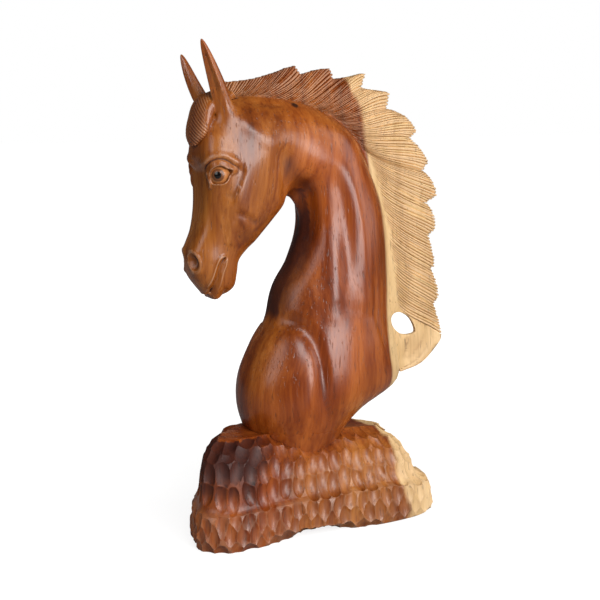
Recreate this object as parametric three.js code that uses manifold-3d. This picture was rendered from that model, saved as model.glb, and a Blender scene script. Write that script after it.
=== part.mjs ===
// Horse head sculpture carved from one block of hardwood: bust, ears, forelock, mane and
// gouge-cut foot are one solid. Millimetres, +Z up, the horse faces -X and Y = 0 is its middle plane.
// The finished carving is moved so that the origin is under its middle, on the surface that it stands on.
import * as THREE from 'three';
import { LoftGeometry } from 'three/addons/geometries/LoftGeometry.js';
import { mergeVertices } from 'three/addons/utils/BufferGeometryUtils.js';
import Module from 'manifold-3d';

// Driving dimensions

// Bust, as stations from the foot to the lips. front is the chest, throat and jaw edge and back is the
// nape, forehead and nose edge, as [x, z] in the middle plane. half is the greatest half width.
// square gives the corner shape at each edge: 1 is an ellipse, less is squarer, more is leaner.
const STATIONS = [
  { name: 'sunk_foot', front: [-70, 60], back: [8, 60], half: 40, square: [0.9, 0.9] },
  { name: 'ankle', front: [-81, 88], back: [19, 88], half: 47, square: [0.9, 0.9] },
  { name: 'breast', front: [-91, 120], back: [46, 112], half: 54, square: [0.9, 1.0] },
  { name: 'withers', front: [-90, 152], back: [91, 136], half: 58, square: [0.9, 1.1] },
  { name: 'shoulder', front: [-77, 184], back: [91, 168], half: 55, square: [0.95, 1.1] },
  { name: 'neck_root', front: [-61, 212], back: [82, 205], half: 50, square: [1.0, 1.0] },
  { name: 'low_neck', front: [-53, 240], back: [80, 242], half: 46, square: [0.95, 1.0] },
  { name: 'mid_neck', front: [-37, 270], back: [78, 280], half: 43, square: [0.85, 1.0] },
  { name: 'high_neck', front: [-25, 300], back: [72, 319], half: 40, square: [0.85, 1.0] },
  { name: 'upper_crest', front: [-26, 320], back: [55, 361], half: 38, square: [1.1, 1.0] },
  { name: 'crest', front: [-34, 333], back: [28, 399], half: 37, square: [1.5, 0.9] },
  { name: 'nape', front: [-40, 336], back: [-14, 423], half: 37, square: [1.4, 0.8] },
  { name: 'behind_ears', front: [-45, 334], back: [-60, 435], half: 37, square: [0.8, 0.7] },
  { name: 'poll', front: [-50, 327], back: [-104, 437], half: 36, square: [0.55, 0.6] },
  { name: 'forehead', front: [-60, 316], back: [-132, 414], half: 36, square: [0.55, 0.5] },
  { name: 'brow', front: [-71, 304], back: [-140, 385], half: 37, square: [0.6, 0.5] },
  { name: 'eye', front: [-81, 293], back: [-136, 362], half: 35, square: [0.65, 0.5] },
  { name: 'face', front: [-90, 284], back: [-137, 334], half: 29, square: [0.7, 0.55] },
  { name: 'nose', front: [-97, 274], back: [-142, 308], half: 25, square: [0.75, 0.6] },
  { name: 'nostril', front: [-99, 262], back: [-152, 284], half: 24, square: [0.7, 0.55] },
  { name: 'upper_lip', front: [-102, 249], back: [-147, 262], half: 21, square: [0.7, 0.6] },
  { name: 'lips', front: [-114, 238], back: [-134, 243], half: 13, square: [0.8, 0.8] },
];
const BUST_SECTIONS = 42;
const BUST_POINTS = 32;

// Shoulder muscle: an oval dome on each side with a carved groove round its edge.
const SHOULDER = { x: -64, z: 152, halfLength: 40, halfHeight: 64, rise: 4, groove: 3, grooveWidth: 0.1 };

// Mane: the hair line that it grows from, from the poll to the withers, as [x, z], and its locks. The edge of
// a lock runs from the notch before it to its own tip, and bulges out or in on the way.
const HAIR_LINE = [
  [-113, 437], [-64, 438], [-43, 430], [-15, 424], [6, 418], [24, 405], [37, 390], [50, 374],
  [63, 340], [74, 313], [79, 284], [83, 256],
];
const LOCKS = [
  { notch: [-109, 451], tip: [-31, 468], bulge: -4 },
  { notch: [-23, 459], tip: [10, 465], bulge: 1 },
  { notch: [14, 455], tip: [52, 461], bulge: -1 },
  { notch: [48, 446], tip: [82, 441], bulge: 0 },
  { notch: [78, 425], tip: [117, 401], bulge: 5 },
  { notch: [108, 394], tip: [132, 367], bulge: 2 },
  { notch: [125, 359], tip: [143, 331], bulge: 4 },
  { notch: [131, 324], tip: [143, 295], bulge: 3 },
  { notch: [134, 288], tip: [142, 254], bulge: 1 },
  { notch: [138, 252], tip: [148, 217], bulge: 2 },
  { notch: [142, 213], tip: [153, 178], bulge: 0.5 },
];
// Below the last lock the mane runs out into a plain web that joins the withers.
const WEB_LINE = [[87, 215], [90, 180], [94, 150]];
const WEB_EDGE = [[149, 168], [127, 148], [100, 140]];
const MANE = { rootHalf: 15, tipHalf: 3.5, sink: 14, groove: 0.9, strands: 6, points: 5 };
// The hair round the hole is cut thinner, by a share that fades out within a reach of the hole.
const MANE_HOLE = { x: 103, z: 192.5, halfLength: 18, halfHeight: 10.5, tilt: -0.5, thin: 0.45, reach: 26 };

// Ears: foot, tip and bow of the middle line, then the half width, half thickness and depth of the cup.
const EARS = [
  { side: -1, foot: [-110, 17, 410], tip: [-142, 25, 491], bow: 1 },
  { side: 1, foot: [-110, 17, 410], tip: [-142, 25, 478], bow: -3 },
];
const EAR = { half: 12, thick: 8.4, cup: 5, rings: 11, points: 12 };

// Forelock: the pad of hair that hangs over the forehead, from the poll to its tip.
const FORELOCK = [
  { at: [-104, 440], half: 15, thick: 9 },
  { at: [-126, 430], half: 21, thick: 10 },
  { at: [-134, 413], half: 24, thick: 9 },
  { at: [-138, 400], half: 22, thick: 7 },
  { at: [-140, 391], half: 11, thick: 4 },
];
const FORELOCK_RINGS = 12;
const FORELOCK_POINTS = 16;
const FORELOCK_GROOVE = 0.8;

const EYE = { x: -129, y: 29.5, z: 362, ball: 10, sink: 9.5, socket: [12, 5, 9] };
const NOSTRIL = { x: -149, y: 14, z: 281, half: [5, 7, 8] };
const MOUTH = { corner: [-116, 281], end: [-134, 239], y: 21, width: 2.4, depth: 3.5 };

// Foot: a rounded block with a ledge at mid height, cut all over with gouge scallops.
// Its outline seen from above, counterclockwise from the right end, as [x, y].
const FOOT_OUTLINE = [
  [127, 0], [129, 40], [106, 69], [50, 77], [-10, 74], [-66, 77], [-108, 63], [-140, 18], [-153, -5],
  [-162, -34], [-164, -58], [-140, -77], [-88, -75], [-45, -73], [0, -74], [60, -74], [101, -65],
  [119, -36],
];
const FOOT = { leftRise: 0.1, rightFall: 0.12, spine: 0.55, rightSlope: 0.8, leftSlope: -0.2 };
// Shallow hollow cut under the front edge.
const FOOT_HOLLOW = { x: -40, halfLength: 30, depth: 24 };
// Side of the block from its underside to its top, as [height, inset from the outline].
const FOOT_PROFILE = [
  [-4, 6], [4, 0], [33, 3], [41, 12], [63, 19], [80, 29], [88, 48], [91, 64],
];
// Gouge cuts: how many round the block and up it, their depth, their reach in cells and their scatter.
const GOUGE = { columns: 44, rows: 6, depth: 3, half: 0.58, jitter: 0.07 };

const WOOD = new THREE.MeshStandardMaterial({ color: 0x8a4a22, roughness: 0.35, metalness: 0 });

// Solids

const wasm = await Module();
wasm.setup();

function solidOf(geometry) {
  const bare = new THREE.BufferGeometry();
  bare.setAttribute('position', geometry.attributes.position);
  bare.setIndex(geometry.index);
  const merged = mergeVertices(bare, 1e-4);
  const index = merged.index.array;
  const triVerts = [];
  for (let i = 0; i < index.length; i += 3) {
    const [a, b, c] = index.slice(i, i + 3);
    if (a !== b && b !== c && c !== a) triVerts.push(a, b, c);
  }
  return new wasm.Manifold(new wasm.Mesh({
    numProp: 3,
    vertProperties: merged.attributes.position.array,
    triVerts: new Uint32Array(triVerts),
  }));
}

function geometryOf(solid) {
  const { vertProperties, triVerts } = solid.getMesh();
  const geometry = new THREE.BufferGeometry();
  geometry.setAttribute('position', new THREE.BufferAttribute(vertProperties, 3));
  geometry.setIndex(new THREE.BufferAttribute(triVerts, 1));
  return geometry;
}

// Curves and easing

// A smooth curve through rows of numbers, read at a share t of its length from 0 to 1.
function through(rows) {
  const curves = [];
  for (let k = 0; k < rows[0].length; k += 3) {
    const points = rows.map((row) => new THREE.Vector3(row[k], row[k + 1] ?? 0, row[k + 2] ?? 0));
    curves.push(new THREE.CatmullRomCurve3(points, false, 'catmullrom', 0.5));
  }
  return (t) => curves.flatMap((curve) => curve.getPoint(t).toArray());
}

const mix = THREE.MathUtils.lerp;
const ease = THREE.MathUtils.smoothstep;

function loft(sections) {
  return solidOf(new LoftGeometry(sections, { capStart: true, capEnd: true }));
}

// Bust

function shoulderRelief(x, z) {
  const { halfLength, halfHeight, rise, groove, grooveWidth } = SHOULDER;
  const reach = Math.hypot((x - SHOULDER.x) / halfLength, (z - SHOULDER.z) / halfHeight);
  const dome = rise * (1 - ease(reach, 0.55, 1));
  const upper = ease(z, SHOULDER.z - 0.3 * halfHeight, SHOULDER.z + 0.4 * halfHeight);
  return dome - groove * upper * Math.exp(-(((reach - 1) / grooveWidth) ** 2));
}

function makeBust() {
  const station = through(STATIONS.map((s) => [...s.front, ...s.back, s.half, ...s.square]));
  const sections = [];
  for (let i = 0; i <= BUST_SECTIONS; i += 1) {
    const [frontX, frontZ, backX, backZ, half, squareFront, squareBack] = station(i / BUST_SECTIONS);
    const ring = [];
    for (let j = 0; j < BUST_POINTS; j += 1) {
      const angle = (j / BUST_POINTS) * 2 * Math.PI;
      const across = (1 - Math.cos(angle)) / 2;
      const square = mix(squareFront, squareBack, ease(across, 0.25, 0.75));
      const x = mix(frontX, backX, across);
      const z = mix(frontZ, backZ, across);
      const width = Math.abs(Math.sin(angle)) ** square;
      const y = half * width + shoulderRelief(x, z) * width;
      ring.push(new THREE.Vector3(x, -Math.sign(Math.sin(angle)) * y, z));
    }
    sections.push(ring);
  }
  return loft(sections);
}

// Mane

// Columns of hair from the poll to the withers, each with its root, its tip and a ridge share.
function maneColumns() {
  const roots = through(HAIR_LINE);
  const columns = [];
  LOCKS.forEach(({ notch, tip, bulge }, lock) => {
    const from = new THREE.Vector2(...notch);
    const to = new THREE.Vector2(...tip);
    const along = to.clone().sub(from).normalize();
    const outward = new THREE.Vector2(-along.y, along.x);
    for (let strand = 0; strand <= MANE.strands; strand += 1) {
      const share = strand / MANE.strands;
      const end = from.clone().lerp(to, share).addScaledVector(outward, bulge * Math.sin(Math.PI * share));
      const [rootX, rootZ] = roots((lock + 0.94 * share + 0.03) / LOCKS.length);
      columns.push({ root: new THREE.Vector2(rootX, rootZ), tip: end, ridge: strand % 2 ? 1 : -1 });
    }
  });
  WEB_LINE.forEach((root, i) => {
    columns.push({ root: new THREE.Vector2(...root), tip: new THREE.Vector2(...WEB_EDGE[i]), ridge: 0 });
  });
  return columns;
}

function makeMane() {
  const sections = maneColumns().map(({ root, tip, ridge }) => {
    const inward = root.clone().sub(tip).normalize();
    const start = root.clone().addScaledVector(inward, MANE.sink);
    const near = [];
    const far = [];
    for (let k = 0; k < MANE.points; k += 1) {
      const share = k / (MANE.points - 1);
      const at = start.clone().lerp(tip, share);
      const groove = ridge * MANE.groove * ease(share, 0.1, 0.3);
      const fromHole = Math.hypot(at.x - MANE_HOLE.x, at.y - MANE_HOLE.z) / MANE_HOLE.reach;
      const thinned = 1 - MANE_HOLE.thin * Math.exp(-(fromHole ** 2));
      const half = mix(MANE.rootHalf, MANE.tipHalf, share ** 0.8) * thinned + groove;
      near.push(new THREE.Vector3(at.x, -half, at.y));
      far.unshift(new THREE.Vector3(at.x, half, at.y));
    }
    return [...near, ...far].reverse();
  });
  const hole = new THREE.Shape();
  hole.absellipse(0, 0, MANE_HOLE.halfLength, MANE_HOLE.halfHeight, 0, 2 * Math.PI, false, MANE_HOLE.tilt);
  const depth = 4 * MANE.rootHalf;
  const cutter = new THREE.ExtrudeGeometry(hole, { depth, bevelEnabled: false, curveSegments: 10 });
  cutter.translate(0, 0, -depth / 2).rotateX(Math.PI / 2).translate(MANE_HOLE.x, 0, MANE_HOLE.z);
  return loft(sections).subtract(solidOf(cutter));
}

// Ears and forelock

// The ear narrows as the square root of what is left of its height, which rounds its tip.
function makeEar({ side, foot, tip, bow }) {
  const low = new THREE.Vector3(foot[0], side * foot[1], foot[2]);
  const high = new THREE.Vector3(tip[0], side * tip[1], tip[2]);
  const sections = [];
  for (let i = 0; i <= EAR.rings; i += 1) {
    const size = 1 - 0.97 * (i / EAR.rings);
    const up = 1 - size * size;
    const centre = low.clone().lerp(high, up);
    centre.x += bow * Math.sin(Math.PI * up);
    const ring = [];
    for (let j = 0; j < EAR.points; j += 1) {
      const angle = (j / EAR.points) * 2 * Math.PI;
      const facing = Math.max(0, Math.cos(angle - 0.25 * Math.PI)) ** 3;
      const hollow = EAR.cup * facing * size * Math.sin(Math.PI * Math.min(1, up * 1.1));
      const x = centre.x - (EAR.half * size - hollow) * Math.cos(angle);
      const y = centre.y + (EAR.thick * size - hollow * 0.4) * Math.sin(angle) * side;
      ring.push(new THREE.Vector3(x, y, centre.z));
    }
    if (side > 0) ring.reverse();
    sections.push(ring);
  }
  return loft(sections);
}

function makeForelock() {
  const row = through(FORELOCK.map((s) => [...s.at, s.half, s.thick]));
  const sections = [];
  for (let i = 0; i <= FORELOCK_RINGS; i += 1) {
    const [x, z, half, thick] = row(i / FORELOCK_RINGS);
    const lean = mix(0.5, -0.25, i / FORELOCK_RINGS) * Math.PI;
    const ring = [];
    for (let j = 0; j < FORELOCK_POINTS; j += 1) {
      const angle = (j / FORELOCK_POINTS) * 2 * Math.PI;
      const ridge = j % 2 ? FORELOCK_GROOVE : -FORELOCK_GROOVE;
      const out = (thick + ridge) * Math.cos(angle);
      ring.push(new THREE.Vector3(
        x - out * Math.cos(lean * 0.5),
        half * Math.sin(angle),
        z + out * Math.sin(lean * 0.5),
      ));
    }
    sections.push(ring);
  }
  return loft(sections);
}

// Face

function ellipsoid([halfX, halfY, halfZ], [x, y, z], turn = 0) {
  const geometry = new THREE.SphereGeometry(1, 14, 9);
  geometry.scale(halfX, halfY, halfZ).rotateY(turn).translate(x, y, z);
  return solidOf(geometry);
}

function carveFace(head, side) {
  const socket = ellipsoid(EYE.socket, [EYE.x, side * EYE.y, EYE.z], 0.5);
  const ballCentre = [EYE.x + 2, side * (EYE.y - EYE.sink), EYE.z];
  const ball = ellipsoid([EYE.ball, EYE.ball, EYE.ball * 0.85], ballCentre);
  const nostril = ellipsoid(NOSTRIL.half, [NOSTRIL.x, side * NOSTRIL.y, NOSTRIL.z], -0.4);
  const [cornerX, cornerZ] = MOUTH.corner;
  const [endX, endZ] = MOUTH.end;
  const length = Math.hypot(endX - cornerX, endZ - cornerZ);
  const mouth = ellipsoid(
    [MOUTH.width, MOUTH.depth, length / 2],
    [(cornerX + endX) / 2, side * MOUTH.y, (cornerZ + endZ) / 2],
    Math.atan2(cornerX - endX, cornerZ - endZ),
  );
  return head.subtract(socket).add(ball).subtract(nostril).subtract(mouth);
}

// Foot

function jitter(row, column) {
  const wave = Math.sin(row * 12.9898 + column * 78.233) * 43758.5453;
  return (wave - Math.floor(wave) - 0.5) * 2 * GOUGE.jitter;
}

// Depth of the nearest gouge cut at a place measured in columns round the block and rows up it.
function gougeDepth(column, row) {
  let least = Infinity;
  for (let r = Math.floor(row) - 1; r <= Math.floor(row) + 2; r += 1) {
    const stagger = r % 2 ? 0.5 : 0;
    const middle = Math.round(column - stagger);
    for (let c = middle - 1; c <= middle + 1; c += 1) {
      const wrapped = ((c % GOUGE.columns) + GOUGE.columns) % GOUGE.columns;
      const across = column - (c + stagger + jitter(r, wrapped));
      const up = row - (r + 0.5 + jitter(wrapped, r));
      least = Math.min(least, (across / GOUGE.half) ** 2 + (up / GOUGE.half) ** 2);
    }
  }
  return GOUGE.depth * Math.max(0, 1 - least);
}

const footOutline = new THREE.CatmullRomCurve3(
  FOOT_OUTLINE.map(([x, y]) => new THREE.Vector3(x, y, 0)), true, 'catmullrom', 0.5,
);
const footProfile = new THREE.CatmullRomCurve3(
  FOOT_PROFILE.map(([height, inset]) => new THREE.Vector3(inset, 0, height)), false, 'catmullrom', 0.5,
);

// A place on the uncut block: around and up run from 0 to 1.
function footPoint(around, up) {
  const edge = footOutline.getPointAt(((around % 1) + 1) % 1);
  const { x: inset, z: height } = footProfile.getPointAt(up);
  const inward = new THREE.Vector3(edge.x * FOOT.spine, 0, 0).sub(edge);
  const reach = inward.length();
  const hollowReach = (edge.x - FOOT_HOLLOW.x) / FOOT_HOLLOW.halfLength;
  const hollow = edge.y < 0 && up === 0 ? FOOT_HOLLOW.depth * Math.exp(-(hollowReach ** 2)) : 0;
  const endSlope = 1 + (edge.x > 0 ? FOOT.rightSlope : FOOT.leftSlope) * (edge.x / 140) ** 2;
  const point = edge.addScaledVector(inward, Math.tanh((inset * endSlope + hollow) / reach));
  const rise = FOOT.leftRise * ease(-point.x, 40, 100) - FOOT.rightFall * ease(point.x, 20, 110);
  point.z = Math.max(FOOT_PROFILE[0][0], height * (height > 0 ? 1 + rise : 1));
  return point;
}

function makeFoot() {
  const columns = 2 * GOUGE.columns;
  const rows = 2 * GOUGE.rows;
  const step = 0.01;
  const sections = [];
  for (let i = 0; i <= rows; i += 1) {
    const up = i / rows;
    const ring = [];
    for (let j = 0; j < columns; j += 1) {
      const around = j / columns;
      const point = footPoint(around, up);
      if (i > 0) {
        const along = footPoint(around + step, up).sub(footPoint(around - step, up));
        const rise = footPoint(around, Math.min(1, up + step)).sub(footPoint(around, up - step));
        const outward = along.cross(rise).normalize();
        point.addScaledVector(outward, -gougeDepth(j / 2, i / 2));
      }
      ring.push(point);
    }
    sections.push(ring);
  }
  return loft(sections);
}

// Assembly

let carving = makeBust();
carving = carveFace(carveFace(carving, -1), 1);
for (const ear of EARS) carving = carving.add(makeEar(ear));
carving = carving.add(makeForelock()).add(makeMane()).add(makeFoot());
// The largest body is the carving itself: pockets sealed between the joined solids stay filled.
const [whole] = carving.decompose().sort((a, b) => b.volume() - a.volume());
const { min, max } = whole.boundingBox();
const placed = whole.translate([-(min[0] + max[0]) / 2, 0, -min[2]]);

const sculpture = new THREE.Group();
const horse = new THREE.Mesh(geometryOf(placed), WOOD);
horse.name = 'horse_head_carving';
sculpture.add(horse);

export default sculpture;
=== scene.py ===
"""Looks of a horse head carved from one log: polished two-tone wood, a cut-out mane and a gouged foot.

The head, mane, ears, forelock and foot are shaped one by one, joined into one carving, and given
one wood material. Lengths are in millimetres until a mesh is written, which is in metres.
"""

import math

import bpy
import numpy as np
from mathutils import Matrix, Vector


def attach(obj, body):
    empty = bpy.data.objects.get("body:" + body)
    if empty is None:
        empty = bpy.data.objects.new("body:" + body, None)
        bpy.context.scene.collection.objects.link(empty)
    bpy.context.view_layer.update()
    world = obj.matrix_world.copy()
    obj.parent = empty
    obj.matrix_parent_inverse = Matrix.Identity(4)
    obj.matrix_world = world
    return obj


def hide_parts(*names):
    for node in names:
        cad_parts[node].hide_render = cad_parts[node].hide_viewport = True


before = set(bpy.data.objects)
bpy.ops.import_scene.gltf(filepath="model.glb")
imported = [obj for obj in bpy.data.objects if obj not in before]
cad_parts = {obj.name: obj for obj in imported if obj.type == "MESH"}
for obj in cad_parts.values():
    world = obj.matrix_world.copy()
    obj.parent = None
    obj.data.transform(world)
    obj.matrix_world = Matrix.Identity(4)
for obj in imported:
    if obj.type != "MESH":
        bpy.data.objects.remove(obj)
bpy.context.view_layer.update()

MM = 0.001
CARVING_NODE = "horse_head_carving"

# Camera of the photograph: yaw round the object, height angle, distance, target and lens.
CAMERA = {"yaw": -28.0, "rise": 9.0, "distance": 1.300, "target": (-0.017, 0.0, 0.232), "lens": 74.88}

# The numbers below are measured from a point 4 mm above the ground under the carving. The finished
# carving is moved by this much, so that the middle of its box stands on the origin.
MOVE = np.array([6.0, 0.0, 4.0])
GROUND = -4.0

# Stations of the bust from the foot to the lips: front edge x z, back edge x z, half width,
# and the corner shape at the front and back edge, where 1 is an ellipse and less is squarer.
STATIONS = [
    [-70, 60, 8, 60, 40, 0.9, 0.9],
    [-81, 88, 19, 88, 47, 0.9, 0.9],
    [-91, 120, 46, 112, 54, 0.9, 1.0],
    [-90, 152, 91, 136, 58, 0.9, 1.1],
    [-77, 184, 91, 168, 55, 0.95, 1.1],
    [-61, 212, 82, 205, 50, 1.0, 1.0],
    [-53, 240, 80, 242, 46, 0.95, 1.0],
    [-37, 270, 78, 280, 43, 0.85, 1.0],
    [-25, 300, 72, 319, 40, 0.85, 1.0],
    [-26, 320, 55, 361, 38, 1.1, 1.0],
    [-34, 333, 30, 402, 37, 1.5, 0.8],
    [-40, 336, -12, 427, 37, 1.4, 0.85],
    [-45, 334, -60, 438, 37, 0.8, 0.95],
    [-50, 327, -104, 437, 37, 0.55, 0.9],
    [-60, 316, -132, 414, 37, 0.55, 0.72],
    [-71, 304, -140, 385, 37, 0.6, 0.56],
    [-81, 293, -136, 362, 35, 0.65, 0.5],
    [-90, 284, -137, 334, 29, 0.7, 0.55],
    [-97, 274, -142, 308, 25, 0.75, 0.6],
    [-99, 262, -151, 283, 24, 0.7, 0.55],
    [-102, 249, -147, 262, 21, 0.7, 0.6],
    [-112, 240, -134, 243, 13, 0.8, 0.8],
]
POLL_STATION = 13
NECK_RINGS = 64
HEAD_RINGS = 108
LIP_RINGS = 7
LIP_ROUND = 3.0
BUST_SEGMENTS = 120

SHOULDER = {"x": -64, "z": 152, "length": 40, "height": 64, "rise": 4, "groove": 4, "width": 0.1}

# Lines on the near side, as x y z points, each with the height and width of the ridge or groove along it
# and the share of painted shade laid along it, for the shade in its crease or recess. The far side has the
# same ones mirrored.
CHEEK_EDGE = [(-105, -35, 377), (-103, -36, 368), (-103.9, -36, 362), (-107, -36, 354), (-112, -36, 343),
              (-115, -34, 329)]
MODELLED_LINES = [
    ("jowl_rear", -3.2, 7.0, 0.0,
     [(-66, -37, 392), (-58, -37, 376), (-55, -34, 357), (-53, -28, 342), (-57, -25, 331)]),
    ("jowl_lower", -1.4, 4.0, 0.1, [(-114, -34, 326), (-99, -34, 320), (-86, -30, 312)]),
    ("jaw_ridge", 1.2, 4.0, 0.0, [(-115, -32, 320), (-114, -28, 304), (-114, -25, 290)]),
    ("crest_hollow", -2.6, 5.0, 0.3,
     [(-104, -18, 441), (-94, -21, 436), (-80, -22, 433), (-64, -21, 432), (-48, -20, 430)]),
    ("temple_ridge", 1.6, 8.0, 0.0,
     [(-122, -26, 450), (-116, -26, 435), (-108, -27, 421), (-95, -31, 408), (-78, -36, 396),
      (-60, -37, 388)]),
    ("ear_crease", -1.8, 2.6, 0.4, [(-127, -20, 440), (-121, -24, 428), (-115, -26, 419)]),
    ("neck_muscle", 2.2, 9.0, 0.0,
     [(-29, -37, 384), (-14, -28, 334), (-7, -35, 283), (-7, -44, 233), (-10, -48, 203)]),
    ("neck_valley", -2.2, 8.0, 0.0, [(-8, -37, 374), (6, -37, 334), (11, -41, 283), (10, -46, 232)]),
    ("nape_muscle", 1.6, 9.0, 0.0,
     [(11, -32, 384), (24, -38, 333), (31, -42, 282), (32, -45, 236), (27, -51, 195)]),
    ("throat_hollow", -2.6, 12.0, 0.1,
     [(-41, -34, 365), (-24, -14, 323), (-26, -17, 282), (-39, -20, 242)]),
    ("back_crease", -1.4, 2.6, 0.5,
     [(43, -42, 262), (44, -43, 240), (45, -45, 211), (51, -44, 193), (57, -43, 176), (60, -43, 154)]),
    ("neck_root", -1.2, 6.0, 0.12, [(-19, -41, 224), (-1, -46, 224), (21, -48, 218), (55, -41, 213)]),
    ("shoulder_top", -2.6, 4.5, 0.65,
     [(-70, 0, 194), (-60, -17, 206), (-49, -27, 210), (-41, -34, 208), (-35, -39, 204), (-29, -44, 196),
      (-26, -48, 187), (-23, -50, 174)]),
    ("shoulder_rear", -2.8, 6.0, 0.6,
     [(-24, -50, 180), (-25, -54, 159), (-23, -56, 138), (-16, -54, 116), (-12, -51, 100)]),
    ("chest_edge", -1.5, 3.0, 0.3, [(-56, -10, 212), (-63, -6, 203), (-72, 0, 192)]),
    ("throat_shade", 0.0, 44.0, 0.75,
     [(-44, -30, 350), (-30, -12, 310), (-33, -10, 280), (-46, -10, 250), (-60, -10, 225), (-72, -8, 205)]),
    ("jaw_shade", 0.0, 28.0, 0.42, [(-62, -28, 330), (-80, -30, 313), (-97, -26, 300), (-106, -22, 290)]),
    ("throat_recess", -2.4, 24.0, 0.5,
     [(-66, -36, 392), (-54, -33, 375), (-46, -29, 361), (-36, -24, 352), (-25, -18, 343),
      (-14, -14, 328)]),
    ("web_shade", 0.0, 40.0, 0.16, [(98, -6, 180), (116, -5, 170), (136, -4, 164)]),
    ("socket_shade", 0.0, 22.0, 0.25,
     [(-108, -36, 372), (-110, -36, 360), (-116, -35, 346), (-121, -31, 332)]),
]
UPPER_LIP = [(-118.5, -24.4, 283), (-124.7, -24.2, 279.6), (-128, -23.8, 273), (-132, -20.9, 259),
             (-137, -12, 244)]
LOWER_LIP = [(-117, -24, 281), (-118, -23.7, 273), (-121, -23, 265), (-123, -19.4, 253), (-126, -9, 240)]
MOUTH_LINE = [(-118, -24, 281.5), (-123, -24, 273), (-126.5, -21, 259), (-131, -11, 242)]
LIPS = {"upper": 1.1, "lower": 1.0, "width": 1.5, "gap": 2.6, "gap_width": (1.2, 3.0)}
# Under the lips the wood drops and rises from the upper lip to the chin: x, drop and width of each.
LIP_STEPS = [(-130, -2.0, 2.5), (-123, 2.0, 4.0), (-115, -2.5, 3.5)]
LIP_UNDERSIDE = {"z": (243.0, 252.0), "x": -95.0}
# How far round the eye, the nostril and the mouth the mesh of the bust is made finer.
FINE_REACH = {"eye": 18.0, "nostril": 13.0, "mouth": 9.0}

EYE = {"at": (-126.5, -30.2, 362.0), "out": (-0.40, -0.915, -0.02), "ball": 10.5, "sink": 7.8}
PUPIL = {"aside": -2.4, "radius": 3.7, "iris": 7.2}
# The eye's opening is round, with an outer and an inner corner: how far each reaches out, and its
# direction and spread in degrees.
EYE_OPENING = {"half": 8.9, "outer": (4.3, 18, 15), "inner": (2.2, 228, 18)}
# Heights round the eye: its sunk floor, then the lids as height and width, and the fold over the upper
# lid and the brow as height, distance from the opening and width.
EYELIDS = {"floor": -6.0, "corner": 3.4, "lower": (0.7, 2.4), "upper": (1.8, 4.6),
           "fold": (-1.2, 6.8, 1.2), "brow": (1.7, 10.0, 3.4), "reach": 27.0}
TEAR_DUCT = [(-12.0, 6.0, 0.0), (-10.8, -3.0, 0.0), (-9.2, -8.5, 0.0), (-10.0, -15.0, 0.0)]
TEAR_RIDGE = 1.3
NOSTRIL = {"at": (-147.0, -11.0, 276.5), "out": (-0.75, -0.66, 0.0), "half": (7.0, 9.0), "depth": 8.5,
           "rim": 0.9, "reach": 20.0}

HAIR_LINE = [(-126, 433), (-70, 438), (-43, 430), (-15, 424), (6, 418), (24, 405), (37, 390), (50, 374),
             (62, 338), (72, 300), (80, 262), (85, 222)]
# Locks from the poll to the withers: the notch before the lock, its tip, how far its edge bulges,
# and the angle in degrees at which its hair runs out.
LOCKS = [
    ((-109, 451), (-31, 468), -4.0, 48),
    ((-23, 459), (10, 465), 1.0, 42),
    ((14, 455), (52, 461), -1.0, 28),
    ((48, 446), (82, 441), 0.0, 5),
    ((78, 425), (117, 401), 5.0, -8),
    ((108, 394), (132, 367), 2.0, -14),
    ((125, 359), (143, 331), 4.0, -20),
    ((131, 324), (143, 295), 3.0, -25),
    ((134, 288), (142, 254), 1.0, -28),
    ((138, 252), (148, 217), 2.0, -32),
    ((142, 213), (153, 178), 0.5, -38),
]
WEB_LINE = [(88, 200), (91, 175), (94, 150)]
WEB_EDGE = [(149, 168), (127, 148), (100, 140)]
MANE = {"root": 15.0, "tip": 2.8, "sink": 14.0, "strand": 3.6, "ridge": 2.0, "stray": 10.0, "points": 23}
WEB = {"rings": 28, "hollow": 4.0, "rim": 1.6, "thinnest": 2.2}
# The leaf-shaped hole in the mane: its place, half sizes, tilt, how much its right end narrows, and how
# much and how far round it the mane is thinner.
MANE_HOLE = {"x": 102, "z": 193, "length": 20.0, "height": 10.8, "tilt": -0.55, "narrow": 0.4,
             "thin": 0.6, "reach": 26.0, "cutter_half": 40.0}

EARS = [{"side": -1, "foot": (-110, 17, 410), "tip": (-142, 25, 491), "bow": 1.0},
        {"side": 1, "foot": (-110, 17, 410), "tip": (-142, 25, 478), "bow": -3.0}]
EAR = {"half": 12.0, "thick": 8.4, "cup": 0.5, "rings": 46, "points": 56}
# Directions round the ear in degrees: the middle and half spread of its cup, and its keen edge.
EAR_TURNS = {"cup": 38, "cup_half": 50, "edge": 92}
# The join round the foot of each ear that is rubbed smooth: its middle, half sizes, how hard and how often.
EAR_JOIN = {"at": (-119.0, -24.5, 420.0), "half": (19.0, 13.0, 23.0), "rub": 0.6, "rounds": 48}

# Forelock from the poll to its tip: x z, half width and thickness.
FORELOCK = [[-104, 440, 15, 9], [-126, 430, 19, 10], [-134, 413, 21, 9], [-138, 400, 19, 7],
            [-140, 391, 9, 4]]
FORELOCK_RINGS = 88
FORELOCK_SEGMENTS = 144
# Its strands lie on arcs round one point, as seen in a slanting direction from the front.
FORELOCK_SWEEP = {"aside": -75, "z": 448, "strand": 2.6, "ridge": 1.5, "slant": (0.88, 0.47)}

FOOT_OUTLINE = [(127, 0), (129, 40), (106, 69), (50, 77), (-10, 74), (-66, 77), (-108, 63), (-140, 18),
                (-153, -5), (-162, -34), (-164, -58), (-140, -77), (-88, -75), (-45, -73), (0, -74),
                (60, -74), (101, -65), (119, -36)]
FOOT_PROFILE = [(-4, 6), (4, 0), (33, 3), (41, 12), (63, 19), (80, 29), (88, 48), (91, 64)]
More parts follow.
